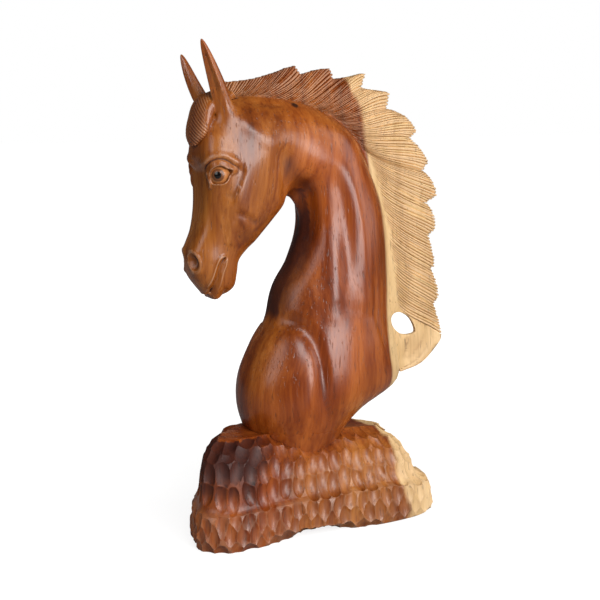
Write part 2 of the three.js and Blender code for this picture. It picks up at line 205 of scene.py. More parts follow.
# How much the foot rises at its left and falls at its right, the spans of x where it does, and how its
# sides slope in towards a spine.
FOOT = {"left_rise": 0.10, "left_span": (40.0, 100.0), "right_fall": 0.12, "right_span": (20.0, 110.0),
        "spine": 0.55, "right_slope": 0.8, "left_slope": -0.2, "half_length": 140.0}
FOOT_LEDGE = {"height": 37.0, "left_fall": 8.0, "left_span": (0.0, 140.0), "reach": 17.0}
FOOT_HOLLOW = {"x": -40, "length": 34, "depth": 20, "top": 8.0}
# The gouge: its round edge, how long and how deep one cut is, how far cuts stray, turn and tip, and the
# least size and depth of a cut beside the full one with how much chance adds.
GOUGE = {"round": 10.5, "length": 21.0, "depth": 3.5, "stray": 0.16, "turn": 0.25, "tip": 0.14,
         "least_size": 0.9, "more_size": 0.25, "least_depth": 0.85, "more_depth": 0.3}
# Rows of gouge cuts: the share of the way up the foot, the number of cuts round it, and how deep and
# how long they are beside the full cut.
GOUGE_ROWS = [(0.045, 53, 1.0, 1.0), (0.14, 53, 1.0, 1.0), (0.25, 53, 1.0, 1.0), (0.47, 51, 1.0, 0.85),
              (0.59, 50, 1.1, 0.9), (0.73, 47, 1.1, 1.0), (0.88, 41, 1.0, 1.0)]
# Cuts that are this many rows and columns apart are made at one time.
GOUGE_APART = 3
FOOT_SEGMENTS = 150
FOOT_RINGS = 40
FOOT_TOP = 103.0

# Angles in degrees past which an edge is drawn sharp, on the whole carving and between gouge cuts.
SHARP_EDGE = 75
SHARP_GOUGE_RIDGE = 26

# Painted shade and sheen on the wood. The foot has a painted sheen up to a height and is darker at its near
# left corner, from darker wood and painted shade, given by the spans over which the dark comes in. Its
# hollows and the ears' front cups get painted shade. The hair and fringe show more or less painted shade
# in their hollows and painted sheen on their ridges.
FOOT_LOW_SHEEN = {"share": 0.5, "z": (60.0, 82.0)}
FOOT_STAIN_AND_SHADE = {"share": 0.95, "left": (60.0, 125.0), "up": (28.0, 58.0), "near": (-35.0, 10.0)}
FOOT_HOLLOW_SHADE = {"share": 1.5, "most": 0.4}
EAR_SHADE = {"above": 445.0, "before": -108.0, "cup_faces": (-0.79, -0.62), "share": 0.35}
FRINGE_SHADE = {"above": 385.0, "before": -122.0, "half": 26.0, "share": 0.7}
HAIR_SHADE = {"half": 13.0, "share": 2.2}


# Curves and easing


def ease(value, low, high):
    share = np.clip((value - low) / (high - low), 0.0, 1.0)
    return share * share * (3.0 - 2.0 * share)


def mix(start, end, share):
    return start + (end - start) * share


def bell(distance, width):
    return np.exp(-((distance / width) ** 2))


def hash_share(first, second):
    wave = np.sin(first * 12.9898 + second * 78.233) * 43758.5453
    return wave - np.floor(wave)


def smooth_curve(points, share, closed=False):
    """The smooth curve through points, read at shares from 0 to 1, each span an equal share."""
    points = np.asarray(points, float)
    share = np.asarray(share, float)
    count = len(points)
    if closed:
        place = (share % 1.0) * count
        index = np.floor(place).astype(int)
        before, start, end, after = (points[(index + k) % count] for k in (-1, 0, 1, 2))
    else:
        ends = np.vstack([2 * points[0] - points[1], points, 2 * points[-1] - points[-2]])
        place = np.clip(share, 0.0, 1.0) * (count - 1)
        index = np.minimum(np.floor(place).astype(int), count - 2)
        before, start, end, after = (ends[index + 1 + k] for k in (-1, 0, 1, 2))
    step = (place - index)[..., None]
    cubic = 3 * (start - end) + after - before
    square = 2 * before - 5 * start + 4 * end - after
    return start + 0.5 * step * (end - before + step * (square + step * cubic))


def even_curve(points, share, closed=False):
    """The same curve read at shares of its length."""
    fine = np.linspace(0.0, 1.0, 1201)
    along = smooth_curve(points, fine, closed)
    if closed:
        along[-1] = along[0]
    length = np.concatenate([[0.0], np.cumsum(np.linalg.norm(np.diff(along, axis=0), axis=1))])
    place = np.interp(np.asarray(share, float), length / length[-1], fine)
    return smooth_curve(points, np.minimum(place, 1.0 - 1e-9) if closed else place, closed)


def line_distance(points, line):
    """Distance from each point to a line of points, the share along it, and the side in x z."""
    line = smooth_curve(line, np.linspace(0.0, 1.0, 6 * len(line)))
    best = np.full(len(points), 1e9)
    share = np.zeros(len(points))
    side = np.ones(len(points))
    spans = len(line) - 1
    for k in range(spans):
        span = line[k + 1] - line[k]
        offset = points - line[k]
        part = np.clip(offset @ span / (span @ span), 0.0, 1.0)
        distance = np.linalg.norm(offset - part[:, None] * span, axis=1)
        nearer = distance < best
        best[nearer] = distance[nearer]
        share[nearer] = (k + part[nearer]) / spans
        turn = span[0] * offset[:, 2] - span[2] * offset[:, 0]
        side[nearer] = np.sign(turn[nearer])
    return best, share, side


def tapered(share, ends=0.15):
    return ease(share, 0.0, ends) * (1.0 - ease(share, 1.0 - ends, 1.0))


# Meshes


def deselect_all():
    bpy.ops.object.select_all(action="DESELECT")


def make_active(piece):
    deselect_all()
    piece.select_set(True)
    bpy.context.view_layer.objects.active = piece


def read_points(piece):
    points = np.empty(len(piece.data.vertices) * 3)
    piece.data.vertices.foreach_get("co", points)
    return points.reshape(-1, 3) / MM


def write_points(piece, points):
    piece.data.vertices.foreach_set("co", (points * MM).ravel())
    piece.data.update()


def read_normals(piece):
    normals = np.empty(len(piece.data.vertices) * 3)
    piece.data.vertex_normals.foreach_get("vector", normals)
    return normals.reshape(-1, 3)


def face_outwards(piece):
    make_active(piece)
    bpy.ops.object.mode_set(mode="EDIT")
    bpy.ops.mesh.select_all(action="SELECT")
    bpy.ops.mesh.normals_make_consistent(inside=False)
    bpy.ops.object.mode_set(mode="OBJECT")


def rolled_blank(name, sections, start, end):
    """A ball whose rings become the given sections, and whose poles close the two ends."""
    rings, segments = sections.shape[:2]
    deselect_all()
    bpy.ops.mesh.primitive_uv_sphere_add(segments=segments, ring_count=rings + 1, radius=1.0)
    piece = bpy.context.object
    piece.name = name
    ball = read_points(piece) * MM
    ring = np.rint(np.arccos(np.clip(-ball[:, 2], -1, 1)) / math.pi * (rings + 1)).astype(int)
    turn = np.rint(np.arctan2(ball[:, 1], ball[:, 0]) / (2 * math.pi) * segments).astype(int) % segments
    points = np.empty_like(ball)
    inner = (ring > 0) & (ring <= rings)
    points[inner] = sections[ring[inner] - 1, turn[inner]]
    points[ring == 0] = start
    points[ring == rings + 1] = end
    write_points(piece, points)
    face_outwards(piece)
    return piece


def face_middles(piece):
    middles = np.empty(len(piece.data.polygons) * 3)
    piece.data.polygons.foreach_get("center", middles)
    return middles.reshape(-1, 3) / MM


def edit_faces(piece, chosen):
    """Opens the piece for editing with only the chosen faces selected."""
    make_active(piece)
    bpy.ops.object.mode_set(mode="EDIT")
    bpy.ops.mesh.select_mode(type="FACE")
    bpy.ops.mesh.select_all(action="DESELECT")
    bpy.ops.object.mode_set(mode="OBJECT")
    piece.data.polygons.foreach_set("select", chosen)
    bpy.ops.object.mode_set(mode="EDIT")


def subdivide_near(piece, inside, cuts):
    """Cuts the faces whose middle is inside a place into smaller ones."""
    edit_faces(piece, inside(face_middles(piece)))
    bpy.ops.mesh.subdivide(number_cuts=cuts, smoothness=0.0)
    bpy.ops.object.mode_set(mode="OBJECT")


def join_solid(whole, part, operation="UNION"):
    """Adds a solid to the whole, or cuts it away, and drops the solid itself."""
    make_active(whole)
    join = whole.modifiers.new("join", "BOOLEAN")
    join.operation = operation
    join.solver = "MANIFOLD"
    join.object = part
    bpy.ops.object.modifier_apply(modifier=join.name)
    bpy.data.objects.remove(part, do_unlink=True)


# Bust


def shoulder_relief(x, z):
    reach = np.hypot((x - SHOULDER["x"]) / SHOULDER["length"], (z - SHOULDER["z"]) / SHOULDER["height"])
    dome = SHOULDER["rise"] * (1.0 - ease(reach, 0.55, 1.0))
    low = SHOULDER["z"] - 0.3 * SHOULDER["height"]
    high = SHOULDER["z"] + 0.4 * SHOULDER["height"]
    return dome - SHOULDER["groove"] * ease(z, low, high) * bell(reach - 1.0, SHOULDER["width"])


def bust_sections():
    poll = POLL_STATION / (len(STATIONS) - 1)
    neck = np.linspace(0.0, poll, NECK_RINGS, endpoint=False)
    head = np.linspace(poll, 1.0, HEAD_RINGS)
    rows = smooth_curve(STATIONS, np.concatenate([neck, head]))
    front_x, front_z, back_x, back_z, half, front_square, back_square = (c[:, None] for c in rows.T)
    angle = np.linspace(0.0, 2 * math.pi, BUST_SEGMENTS, endpoint=False)[None, :]
    angle = angle + 0.16 * np.sin(2 * angle)
    across = (1.0 - np.cos(angle)) / 2.0
    square = mix(front_square, back_square, ease(across, 0.25, 0.75))
    x = mix(front_x, back_x, across)
    z = mix(front_z, back_z, across)
    width = np.abs(np.sin(angle)) ** square
    y = -np.sign(np.sin(angle)) * (half + shoulder_relief(x, z)) * width
    sections = np.stack([x, y, z], axis=-1)
    last = sections[-1]
    middle = last.mean(axis=0)
    closing = []
    for k in range(1, LIP_RINGS):
        turn = 0.5 * math.pi * k / LIP_RINGS
        drop = np.array([0.0, 0.0, -LIP_ROUND * math.sin(turn)])
        closing.append(middle + (last - middle) * math.cos(turn) + drop)
    return np.concatenate([sections, np.array(closing)]), middle - [0.0, 0.0, LIP_ROUND]


def local_axes(out):
    """Right and up on the surface, for a place that faces out."""
    out = np.asarray(out, float)
    out = out / np.linalg.norm(out)
    right = np.cross(out, [0.0, 0.0, 1.0])
    right = -right / np.linalg.norm(right)
    return right, np.cross(out, right), out


def turn_between(turn, degrees):
    """How far each turn is from a direction, the shorter way round."""
    return np.angle(np.exp(1j * (turn - math.radians(degrees))))


def eye_corner(turn, reach, direction, spread):
    return reach * bell(turn_between(turn, direction), math.radians(spread))


def eye_opening(turn):
    outer = eye_corner(turn, *EYE_OPENING["outer"])
    inner = eye_corner(turn, *EYE_OPENING["inner"])
    return EYE_OPENING["half"] + outer + inner


def eye_relief(points):
    right, up, _ = local_axes(EYE["out"])
    offset = points - np.array(EYE["at"])
    s = offset @ right
    t = offset @ up
    near = ease(EYELIDS["reach"] - np.linalg.norm(offset, axis=1), 0.0, 4.0)
    reach = np.hypot(s, t)
    turn = np.arctan2(t, s)
    outside = reach - eye_opening(turn)
    upper = ease(np.sin(turn - math.radians(8)), -0.25, 0.35)
    corner = ease(reach, 9.5, 12.5)
    floor = EYELIDS["floor"] + EYELIDS["corner"] * corner
    lid_height, lid_width = (mix(low, high, upper) for low, high in zip(EYELIDS["lower"], EYELIDS["upper"]))
    lid = lid_height * bell(np.maximum(outside, 0.0), lid_width)
    fold_height, fold_at, fold_width = EYELIDS["fold"]
    fold = fold_height * upper * bell(outside - fold_at, fold_width)
    brow_height, brow_at, brow_width = EYELIDS["brow"]
    brow = brow_height * ease(np.sin(turn), 0.15, 0.6) * bell(outside - brow_at, brow_width)
    height = mix(floor, lid + fold + brow, ease(outside, -0.8, 0.1))
    flat = np.stack([s, t, np.zeros_like(s)], axis=-1)
    ridge = line_relief(flat, TEAR_DUCT, TEAR_RIDGE, TEAR_RIDGE, 0.2)
    return near * (height + ridge * ease(outside, 0.0, 1.0))


def nostril_relief(points):
    right, up, _ = local_axes(NOSTRIL["out"])
    offset = points - np.array(NOSTRIL["at"])
    near = ease(NOSTRIL["reach"] - np.linalg.norm(offset, axis=1), 0.0, 4.0)
    s = offset @ right / NOSTRIL["half"][0]
    t = offset @ up / NOSTRIL["half"][1]
    s = s + 0.25 * t
    reach = np.hypot(s, t)
    bowl = np.maximum(0.0, 1.0 - reach ** 2) ** 0.7
    deep = NOSTRIL["depth"] * bowl * (0.75 + 0.35 * np.clip(s + 0.4 * t, -1.0, 1.0))
    rim = NOSTRIL["rim"] * bell(reach - 1.22, 0.25) * ease(s, -1.1, -0.2)
    return near * (rim - deep)


def mouth_relief(points):
    upper, upper_share, _ = line_distance(points, UPPER_LIP)
    lower, lower_share, _ = line_distance(points, LOWER_LIP)
    middle, share, _ = line_distance(points, MOUTH_LINE)
    lips = LIPS["upper"] * bell(upper, LIPS["width"]) * ease(upper_share, 0.0, 0.12)
    lips = lips + LIPS["lower"] * bell(lower, LIPS["width"]) * ease(lower_share, 0.0, 0.12)
    gap_width = mix(*LIPS["gap_width"], ease(share, 0.0, 0.4))
    return lips - LIPS["gap"] * ease(share, 0.0, 0.08) * bell(middle, gap_width)


def step_relief(points, line, raised, sunk, reach):
    """A step along a line: the rear side stands up and the front side is cut back."""
    distance, share, side = line_distance(points, line)
    signed = distance * side
    fade = tapered(share, 0.18) * bell(distance, reach)
    return fade * mix(-sunk, raised, ease(signed, -2.8, 2.8))


def line_relief(points, line, height, width, ends=0.22):
    distance, share, _ = line_distance(points, line)
    return height * tapered(share, ends) * bell(distance, width)


def near_side(points):
    """The points with those of the far side mirrored onto the near side."""
    return np.stack([points[:, 0], -np.abs(points[:, 1]), points[:, 2]], axis=-1)


def head_relief(points):
    near = near_side(points)
    height = eye_relief(near) + nostril_relief(near) + mouth_relief(near)
    height = height + step_relief(near, CHEEK_EDGE, 0.5, 2.0, 13.0)
    for _, rise, width, _, line in MODELLED_LINES:
        height = height + line_relief(near, line, rise, width)
    return height


def lip_drop(points):
    """How far the wood under the lips is lowered at each point."""
    low = (1.0 - ease(points[:, 2], *LIP_UNDERSIDE["z"])) * (points[:, 0] < LIP_UNDERSIDE["x"])
    return low * sum(drop * bell(points[:, 0] - x, width) for x, drop, width in LIP_STEPS)


def near_place(points, at, reach):
    return np.linalg.norm(near_side(points) - np.array(at), axis=1) < reach


def near_mouth(points):
    return line_distance(near_side(points), MOUTH_LINE)[0] < FINE_REACH["mouth"]


def make_bust():
    sections, lip_end = bust_sections()
    bust = rolled_blank("bust", sections, sections[0].mean(axis=0), lip_end)
    subdivide_near(bust, lambda points: near_place(points, EYE["at"], FINE_REACH["eye"]), 2)
    subdivide_near(bust, lambda points: near_place(points, NOSTRIL["at"], FINE_REACH["nostril"]), 1)
    subdivide_near(bust, near_mouth, 1)
    points = read_points(bust)
    normals = read_normals(bust)
    carved = points + normals * head_relief(points)[:, None]
    carved[:, 2] -= lip_drop(points)
    write_points(bust, carved)
    return bust


def eye_ball(side):
    _, _, out = local_axes(EYE["out"])
    middle = np.array(EYE["at"]) - out * EYE["sink"]
    deselect_all()
    bpy.ops.mesh.primitive_uv_sphere_add(segments=48, ring_count=32, radius=EYE["ball"] * MM)
    ball = bpy.context.object
    write_points(ball, read_points(ball) + middle * [1.0, -side, 1.0])
    return ball


# Mane


def mane_outline():
    """Fine points along the toothed edge of the mane, each with its place counted in locks."""
    points = []
    places = []
    for lock, (notch, tip, bulge, _) in enumerate(LOCKS):
        notch = np.array(notch, float)
        tip = np.array(tip, float)
        along = (tip - notch) / np.linalg.norm(tip - notch)
        outward = np.array([-along[1], along[0]])
        for share in np.linspace(0.0, 1.0, 40):
            blunt = 1.5 * max(0.0, (share - 0.85) / 0.15) ** 2
            swell = bulge * math.sin(math.pi * share) + share - blunt
            points.append(mix(notch, tip, share) + outward * swell)
            places.append(lock + 0.1 + 0.8 * share)
    return np.array(points), np.array(places)


def mane_columns():
    """Root share, tip, running-out direction, relief and strand number of each column of hair."""
    edge, places = mane_outline()
    length = np.concatenate([[0.0], np.cumsum(np.linalg.norm(np.diff(edge, axis=0), axis=1))])
    strands = int(round(length[-1] / MANE["strand"]))
    angles = np.array([[lock[3]] for lock in LOCKS], float)
    columns = []
    for k in range(strands * 4 + 1):
        at = length[-1] * k / (strands * 4)
        end = np.array([np.interp(at, length, edge[:, 0]), np.interp(at, length, edge[:, 1])])
        place = np.interp(at, length, places)
        strand = k // 4
        within = (k % 4) / 4.0
        ridge = math.sqrt(1.0 - (2.0 * within - 1.0) ** 2) * (0.75 + 0.4 * hash_share(strand, 3.0))
        stray = MANE["stray"] * (hash_share(strand, 5.0) - 0.5)
        turn = math.radians(smooth_curve(angles, place / len(LOCKS))[0] + stray)
        arrive = np.array([math.cos(turn), math.sin(turn)])
        end = end + arrive * (0.9 * ridge + 1.2 * hash_share(strand, 9.0) - 1.2)
        columns.append((place / len(LOCKS), end, arrive, ridge, strand))
    return columns


def crest_direction(share):
    step = 0.004
    ahead = smooth_curve(HAIR_LINE, min(1.0, share + step))
    behind = smooth_curve(HAIR_LINE, max(0.0, share - step))
    return (ahead - behind) / np.linalg.norm(ahead - behind)


def hair_path(root, tip, leave, arrive, shares):
    """A strand from inside the neck, out at its root and along a bend to its tip."""
    length = np.linalg.norm(tip - root)
    inward = (root - tip) / length
    buried = MANE["sink"] / (MANE["sink"] + length)
    start = root + inward * MANE["sink"]
    b = np.clip((shares - buried) / (1.0 - buried), 0.0, 1.0)[:, None]
    first = root + leave * 0.30 * length
    second = tip - arrive * 0.30 * length
    bend = (1 - b) ** 3 * root + 3 * b * (1 - b) ** 2 * first + 3 * b * b * (1 - b) * second + b ** 3 * tip
    sunk = np.clip(shares / buried, 0.0, 1.0)[:, None]
    return np.where(shares[:, None] < buried, mix(start, root, sunk), bend)


def hair_section(path, half):
    near = np.stack([path[:, 0], -half, path[:, 1]], axis=-1)
    far = np.stack([path[:, 0], half, path[:, 1]], axis=-1)
    return np.concatenate([near, far[::-1]])


def thin_near_hole(path):
    reach = np.hypot(path[:, 0] - MANE_HOLE["x"], path[:, 1] - MANE_HOLE["z"])
    return 1.0 - MANE_HOLE["thin"] * bell(reach, MANE_HOLE["reach"])


def lock_sections(shares, thick):
    sections = []
    for root_share, tip, arrive, ridge, strand in mane_columns():
        root = smooth_curve(HAIR_LINE, root_share)
        leave = crest_direction(root_share) + 0.5 * arrive
        path = hair_path(root, tip, leave / np.linalg.norm(leave), arrive, shares)
        begins = mix(0.12, 0.22, float(ease(root_share, 0.5, 0.8))) + 0.06 * hash_share(strand, 13.0)
        fade = ease(shares, begins, begins + 0.14)
        wave = 1.0 + 0.3 * np.sin(8.0 * shares + 2.4 * strand)
        half = thick * thin_near_hole(path) + fade * MANE["ridge"] * (ridge - 0.7) * wave
        sections.append(hair_section(path, np.maximum(half, 1.2)))
    return sections


def web_sections(shares, thick):
    """The thin web below the last lock, down to the withers."""
    sections = []
    web_roots = np.vstack([smooth_curve(HAIR_LINE, 1.0), WEB_LINE])
    web_tips = np.vstack([LOCKS[-1][1], WEB_EDGE])
    for share in np.linspace(0.03, 1.0, WEB["rings"]):
        root = smooth_curve(web_roots, share)
        tip = smooth_curve(web_tips, share)
        straight = (tip - root) / np.linalg.norm(tip - root)
        path = hair_path(root, tip, straight, straight, shares)
        hollow = WEB["hollow"] * bell(shares - 0.62, 0.2) * (1.0 - ease(share, 0.7, 1.0))
        rim = WEB["rim"] * ease(shares, 0.86, 0.96)
        half = np.maximum(thick * thin_near_hole(path) - hollow, WEB["thinnest"]) + rim
        sections.append(hair_section(path, half))
    return sections


def make_mane():
    shares = np.linspace(0.0, 1.0, MANE["points"]) ** 0.9
    thick = mix(MANE["root"], MANE["tip"], shares ** 0.8)
    sections = np.array(lock_sections(shares, thick) + web_sections(shares, thick))
    mane = rolled_blank("mane", sections, sections[0].mean(axis=0), sections[-1].mean(axis=0))
    join_solid(mane, hole_cutter(), "DIFFERENCE")
    return mane


def hole_cutter():
    deselect_all()
    bpy.ops.mesh.primitive_cylinder_add(vertices=64, radius=1.0, depth=2.0)
    cutter = bpy.context.object
    points = read_points(cutter) * MM
    turn = np.arctan2(points[:, 1], points[:, 0])
    along = MANE_HOLE["length"] * np.cos(turn)
    up = MANE_HOLE["height"] * np.sin(turn)
    up = up * (1.0 - MANE_HOLE["narrow"] * np.maximum(0.0, np.cos(turn)) ** 2)
    tilt = MANE_HOLE["tilt"]
    x = MANE_HOLE["x"] + along * math.cos(tilt) - up * math.sin(tilt)
    z = MANE_HOLE["z"] + along * math.sin(tilt) + up * math.cos(tilt)
    write_points(cutter, np.stack([x, MANE_HOLE["cutter_half"] * points[:, 2], z], axis=-1))
    face_outwards(cutter)
    return cutter


# Ears and forelock


def make_ear(ear):
    """An ear that narrows as the square root of what is left of its height, with a cup and a keen edge."""
    side = ear["side"]
    size = np.linspace(1.0, 0.0, EAR["rings"], endpoint=False)[:, None]
    up = 1.0 - size ** 2
    turn = np.linspace(0.0, 2 * math.pi, EAR["points"], endpoint=False)[None, :]
    foot = np.array(ear["foot"], float)
    tip = np.array(ear["tip"], float)
    middle_x = mix(foot[0], tip[0], up) + ear["bow"] * np.sin(math.pi * up)
    middle_y = mix(foot[1], tip[1], up)
    facing = turn_between(turn, EAR_TURNS["cup"])
    open_share = np.maximum(0.0, 1.0 - (facing / math.radians(EAR_TURNS["cup_half"])) ** 2)
    hollow = EAR["cup"] * open_share * ease(up, 0.05, 0.4) * (1.0 - 0.4 * ease(up, 0.8, 1.0))
    keen = 1.0 + 0.10 * bell(turn_between(turn, EAR_TURNS["edge"]), 0.25)
    x = middle_x - EAR["half"] * size * (keen - hollow) * np.cos(turn)
    y = middle_y + EAR["thick"] * size * (keen - 0.9 * hollow) * np.sin(turn)
    z = np.broadcast_to(mix(foot[2], tip[2], up), x.shape)
    sections = np.stack([x, side * y, z], axis=-1)
    return rolled_blank("ear", sections, sections[0].mean(axis=0), tip * [1.0, side, 1.0])


def forelock_sections(raised):
    """Sections of the fringe, with its surface raised by some millimetres."""
    share = np.linspace(0.0, 1.0, FORELOCK_RINGS)
    x, z, half, thick = (c[:, None] for c in smooth_curve(FORELOCK, share).T)
    lean = mix(0.25, -0.125, share)[:, None] * math.pi
    turn = np.linspace(-math.pi, math.pi, FORELOCK_SEGMENTS, endpoint=False)[None, :]
    out = (thick + raised) * np.cos(turn)
    y = (half + 0.7 * raised) * np.sin(turn)
    return np.stack([x - out * np.cos(lean), y, z + out * np.sin(lean)], axis=-1)


def make_forelock():
    """A fringe whose strands lie on arcs round the foot of the ear."""
    plain = forelock_sections(0.0)
    along, across = FORELOCK_SWEEP["slant"]
    aside = along * plain[..., 0] + across * np.abs(plain[..., 1])
    reach = np.hypot(aside - FORELOCK_SWEEP["aside"], plain[..., 2] - FORELOCK_SWEEP["z"])
    within = (reach / FORELOCK_SWEEP["strand"]) % 1.0
    ridge = np.sqrt(np.maximum(0.0, 1.0 - (2.0 * within - 1.0) ** 2)) - 0.6
    begins = ease(np.linspace(0.0, 1.0, FORELOCK_RINGS), 0.0, 0.1)[:, None]
    sections = forelock_sections(FORELOCK_SWEEP["ridge"] * begins * ridge)
    return rolled_blank("forelock", sections, sections[0].mean(axis=0), sections[-1].mean(axis=0))


# Foot


def foot_point(around, up):
    edge = even_curve(FOOT_OUTLINE, around % 1.0, closed=True)
    profile = even_curve(FOOT_PROFILE, up)
    height = profile[..., 0]
    inset = profile[..., 1]
    inward = np.stack([edge[..., 0] * FOOT["spine"], np.zeros_like(around)], axis=-1) - edge
    reach = np.linalg.norm(inward, axis=-1)
    hollow_reach = (edge[..., 0] - FOOT_HOLLOW["x"]) / FOOT_HOLLOW["length"]
    front = (edge[..., 1] < 0.0) * (1.0 - ease(height, GROUND, FOOT_HOLLOW["top"]))
    hollow = front * FOOT_HOLLOW["depth"] * bell(hollow_reach, 1.0)
    slope = np.where(edge[..., 0] > 0.0, FOOT["right_slope"], FOOT["left_slope"])
    end_slope = 1.0 + slope * (edge[..., 0] / FOOT["half_length"]) ** 2
    place = edge + inward * np.tanh((inset * end_slope + hollow) / reach)[..., None]
    rise = FOOT["left_rise"] * ease(-place[..., 0], *FOOT["left_span"])
    rise = rise - FOOT["right_fall"] * ease(place[..., 0], *FOOT["right_span"])
    ledge_fall = FOOT_LEDGE["left_fall"] * ease(-place[..., 0], *FOOT_LEDGE["left_span"])
    ledge_fall = ledge_fall * bell(height - FOOT_LEDGE["height"], FOOT_LEDGE["reach"])
    z = np.maximum(GROUND, height * np.where(height > 0.0, 1.0 + rise, 1.0) - ledge_fall)
    return np.concatenate([place, z[..., None]], axis=-1)


def foot_frame(around, up):
    """Place on the foot, with the directions outward and up along its side there."""
    step = 0.004
    along = foot_point(around + step, up) - foot_point(around - step, up)
    rise = foot_point(around, np.minimum(1.0, up + step)) - foot_point(around, np.maximum(0.0, up - step))
    rise = rise / np.linalg.norm(rise, axis=-1, keepdims=True)
    outward = np.cross(along, rise)
    return foot_point(around, up), outward / np.linalg.norm(outward, axis=-1, keepdims=True), rise


def gouge_stroke(row, column, ball):
    """The points of a ball, stretched and placed as the wood that one cut of the gouge takes away."""
    up, count, deep, long = GOUGE_ROWS[row]
    chance = np.array([hash_share(row, column), hash_share(column, row + 9.0)])
    stray = GOUGE["stray"] * (2.0 * chance - 1.0)
    around = (column + 0.5 * (row % 2) + stray[0]) / count
    up = np.clip(up + 0.12 * stray[1], 0.03, 0.97)
    place, outward, rise = foot_frame(np.array(around), np.array(up))
    turn = GOUGE["turn"] * (2.0 * hash_share(row + 3.0, column) - 1.0)
    tip = GOUGE["tip"] * (2.0 * hash_share(row + 5.0, column) - 1.0)
    aside = np.cross(rise, outward)
    along = math.cos(turn) * rise + math.sin(turn) * aside
    along = math.cos(tip) * along + math.sin(tip) * outward
    aside = np.cross(along, outward)
    aside = aside / np.linalg.norm(aside)
    out = np.cross(aside, along)
    size = GOUGE["least_size"] + GOUGE["more_size"] * hash_share(row + 7.0, column)
    depth_share = GOUGE["least_depth"] + GOUGE["more_depth"] * hash_share(column, row)
    deep = deep * GOUGE["depth"] * depth_share
    middle = place + out * (GOUGE["round"] * size - deep)
    stretched = ball * [GOUGE["round"] * size, GOUGE["round"] * size, GOUGE["length"] * long * size]
    return middle + stretched @ np.array([aside, out, along])


def gouge_strokes(strokes):
    """One cutter of many strokes."""
    deselect_all()
    bpy.ops.mesh.primitive_uv_sphere_add(segments=20, ring_count=14, radius=1.0)
    model = bpy.context.object
    ball = read_points(model) * MM
    faces = [list(face.vertices) for face in model.data.polygons]
    bpy.data.objects.remove(model, do_unlink=True)
    points = np.concatenate([gouge_stroke(row, column, ball) for row, column in strokes])
    mesh = bpy.data.meshes.new("gouge_strokes")
    placed = [[v + k * len(ball) for v in face] for k in range(len(strokes)) for face in faces]
    mesh.from_pydata((points * MM).tolist(), [], placed)
    cutter = bpy.data.objects.new("gouge_strokes", mesh)
    bpy.context.collection.objects.link(cutter)
    face_outwards(cutter)
    return cutter


def make_foot():
    around, up = np.meshgrid(np.arange(FOOT_SEGMENTS) / FOOT_SEGMENTS, np.linspace(0.0, 1.0, FOOT_RINGS))
    sections = foot_point(around, up)
    bottom = np.array([*sections[0].mean(axis=0)[:2], GROUND])
    foot = rolled_blank("foot", sections, bottom, sections[-1].mean(axis=0))
    cuts = [(row, column) for row, (_, count, _, _) in enumerate(GOUGE_ROWS) for column in range(count)]
    for row_step in range(GOUGE_APART):
        for column_step in range(GOUGE_APART):
            strokes = [(row, column) for row, column in cuts
                       if row % GOUGE_APART == row_step and column % GOUGE_APART == column_step]
            join_solid(foot, gouge_strokes(strokes), "DIFFERENCE")
    return foot


# Wood

# The log stands upright in the carving: the middle of its rings, where heartwood gives way to sapwood,
# and one knot beside the mane, in metres.
LOG = {"x": -0.075, "y": -0.060, "heart": 0.149, "taper": -0.035, "top": 0.425, "ring": 0.0105}
KNOT = {"at": (-0.0385, -0.0195, 0.4300), "radius": 0.0045}
HEART_TONES = [(0.36, (0.085, 0.014, 0.0015)), (0.46, (0.20, 0.039, 0.004)), (0.56, (0.33, 0.084, 0.011)),
               (0.70, (0.51, 0.163, 0.030))]
SAP_TONES = [(0.35, (0.62, 0.39, 0.17)), (0.70, (0.86, 0.60, 0.31))]
# Tints that multiply the heartwood from its redder to its warmer stretches, and painted shade that
# multiplies both woods in hollows.
HEART_RED = (1.0, 0.84, 0.70, 1.0)
HEART_WARM = (1.0, 1.16, 1.25, 1.0)
HEART_HOLLOW_SHADE = (0.22, 0.14, 0.10, 1.0)
SAP_HOLLOW_SHADE = (0.44, 0.29, 0.17, 1.0)
PORE_BROWN = (0.05, 0.014, 0.005, 1.0)
# Painted sheen, mixed onto ridges and onto the lower foot.
PAINTED_SHEEN = (0.66, 0.42, 0.27, 1.0)
KNOT_BROWN = (0.035, 0.010, 0.004, 1.0)
EYE_AMBER = (0.60, 0.24, 0.075, 1.0)
IRIS_BROWN = (0.11, 0.030, 0.007, 1.0)
PUPIL_BLACK = (0.004, 0.003, 0.003, 1.0)


def place_node(tree, kind, inputs=None, **settings):
    made = tree.nodes.new(kind)
    for name, value in settings.items():
        setattr(made, name, value)
    for socket, value in (inputs or {}).items():
        if isinstance(value, bpy.types.NodeSocket):
            tree.links.new(value, made.inputs[socket])
        else:
            made.inputs[socket].default_value = value
    return made


def calc(tree, operation, first, second=0.0, third=0.0, clamp=False):
    inputs = {0: first, 1: second, 2: third}
    return place_node(tree, "ShaderNodeMath", inputs, operation=operation, use_clamp=clamp).outputs[0]


def vector_calc(tree, operation, first, second):
    return place_node(tree, "ShaderNodeVectorMath", {0: first, 1: second}, operation=operation).outputs[0]


def step_between(tree, value, low, high, first=0.0, last=1.0):
    inputs = {"Value": value, "From Min": low, "From Max": high, "To Min": first, "To Max": last}
    made = place_node(tree, "ShaderNodeMapRange", inputs, interpolation_type="SMOOTHSTEP", clamp=True)
    return made.outputs["Result"]


def mix_colour(tree, share, first, second, way="MIX"):
    inputs = {0: share, 6: first, 7: second}
    return place_node(tree, "ShaderNodeMix", inputs, data_type="RGBA", blend_type=way).outputs[2]


def stretched_noise(tree, place, stretch, scale, detail, rough=0.5):
    mapped = place_node(tree, "ShaderNodeMapping", {"Vector": place, "Scale": stretch})
    inputs = {"Vector": mapped.outputs[0], "Scale": scale, "Detail": detail, "Roughness": rough}
    return place_node(tree, "ShaderNodeTexNoise", inputs).outputs[0]


